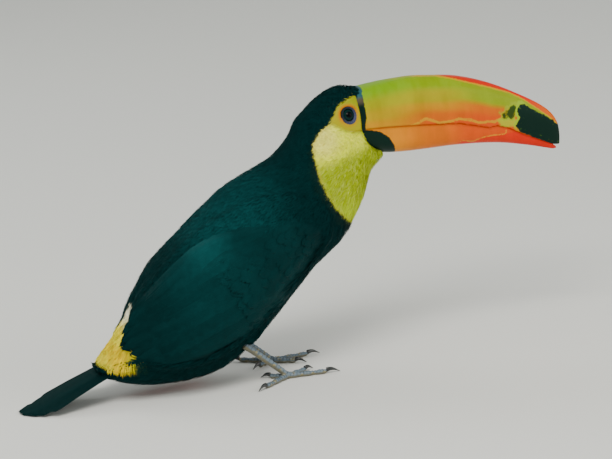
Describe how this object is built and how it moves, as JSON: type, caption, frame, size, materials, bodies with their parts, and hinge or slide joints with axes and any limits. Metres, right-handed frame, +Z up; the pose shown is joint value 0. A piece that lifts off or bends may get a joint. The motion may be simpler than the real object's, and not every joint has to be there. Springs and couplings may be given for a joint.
{
  "type": "toco toucan",
  "caption": "Life-size still model of a standing toco toucan with a huge curved bill, folded wings and its tail tip laid on the ground.",
  "frame": {"origin": "on the ground under the middle of the bounding box", "axes": "+X the way the bird faces, +Y to its left, +Z up"},
  "size_m": [0.536, 0.1106, 0.2598],
  "materials": {
    "dark_plumage": "soft near-black feathers with a teal tone",
    "pale_plumage": "loose silky pale yellow feathers, cream to lime",
    "red_plumage": "soft red feathers",
    "upper_bill_horn": "satin horn, lime to yellow to orange, black at base and tip",
    "lower_bill_horn": "satin orange horn with a black patch at its base",
    "eye": "wet dark eye",
    "leg_scales": "scaled pale blue-grey skin",
    "claw_horn": "dark polished horn"
  },
  "bodies": {
    "root": {"head": "dark_plumage", "neck": "dark_plumage", "trunk": "dark_plumage", "rump": "pale_plumage", "undertail_coverts": "red_plumage", "tail": "dark_plumage", "bill_upper": "upper_bill_horn", "bill_lower": "lower_bill_horn", "wing_right": "dark_plumage", "eye_right": "eye", "thigh_right": "dark_plumage", "tarsus_right": "leg_scales", "foot_right": "leg_scales", "toe_hallux_right": "leg_scales", "claw_hallux_right": "claw_horn", "toe_inner_front_right": "leg_scales", "claw_inner_front_right": "claw_horn", "toe_outer_front_right": "leg_scales", "claw_outer_front_right": "claw_horn", "toe_outer_hind_right": "leg_scales", "claw_outer_hind_right": "claw_horn", "wing_left": "dark_plumage", "eye_left": "eye", "thigh_left": "dark_plumage", "tarsus_left": "leg_scales", "foot_left": "leg_scales", "toe_hallux_left": "leg_scales", "claw_hallux_left": "claw_horn", "toe_inner_front_left": "leg_scales", "claw_inner_front_left": "claw_horn", "toe_outer_front_left": "leg_scales", "claw_outer_front_left": "claw_horn", "toe_outer_hind_left": "leg_scales", "claw_outer_hind_left": "claw_horn"}
  },
  "joints": []
}
